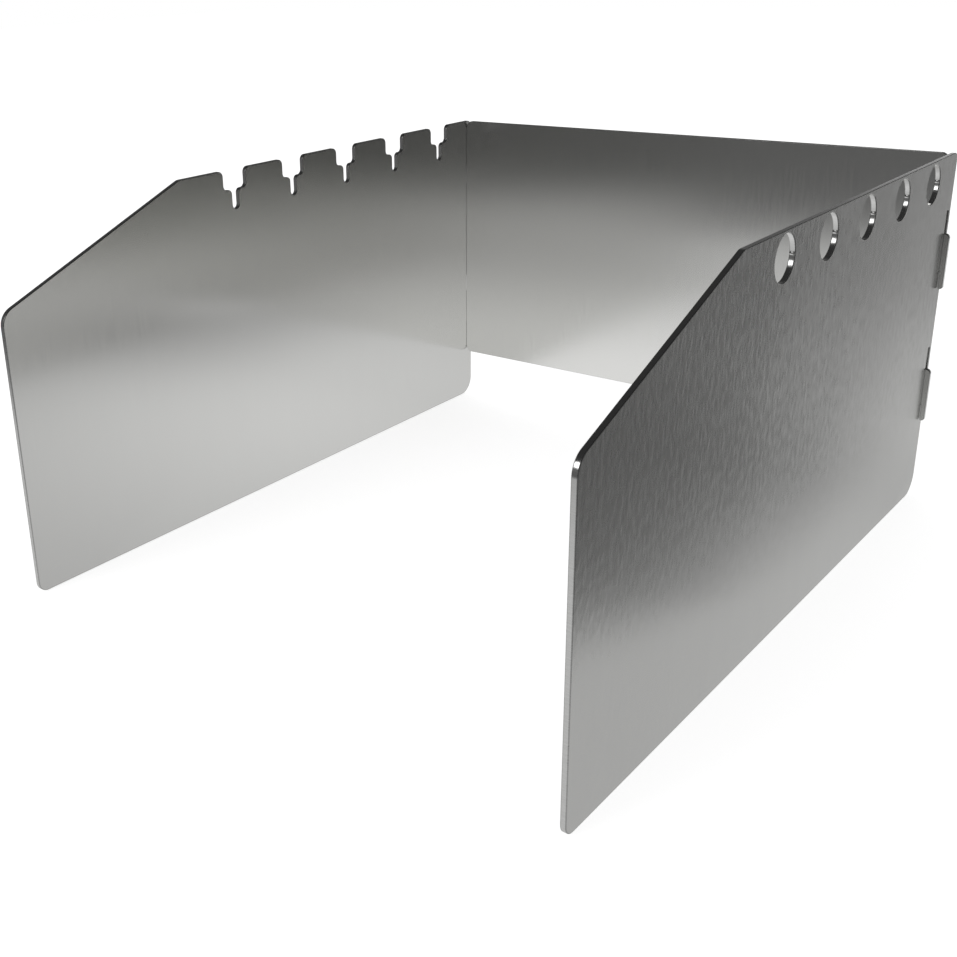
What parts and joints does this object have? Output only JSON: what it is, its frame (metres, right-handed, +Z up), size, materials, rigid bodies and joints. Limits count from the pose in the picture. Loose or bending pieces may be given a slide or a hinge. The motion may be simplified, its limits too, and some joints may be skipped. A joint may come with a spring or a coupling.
{
  "type": "grill windscreen",
  "caption": "Windscreen of flat steel sheets that hook together round a small camp grill, with a row of skewer holes facing a row of matching notches.",
  "frame": {"origin": "middle of the footprint, on the surface that the side panels stand on", "axes": "+Z up, -Y out of the open front, +X towards the panel with the round holes"},
  "size_m": [0.2402, 0.29, 0.146],
  "materials": {
    "side_sheet": "upright brushed grain, cut edges left bare",
    "back_sheet": "upright brushed grain, cut edges left bare"
  },
  "bodies": {
    "left": {"left_panel": "side_sheet"},
    "back": {"back_panel": "back_sheet"},
    "right": {"right_panel": "side_sheet"}
  },
  "joints": [
    {"name": "back_lift", "type": "slide", "parent": "left", "child": "back", "axis": [0, 0, 1], "range_m": [0, 0.009]},
    {"name": "right_unhook", "type": "slide", "parent": "back", "child": "right", "axis": [0, 0, -1], "range_m": [0, 0.009]}
  ],
  "couplings": [
    {"joint": "right_unhook", "follows": "back_lift", "ratio": 1}
  ]
}
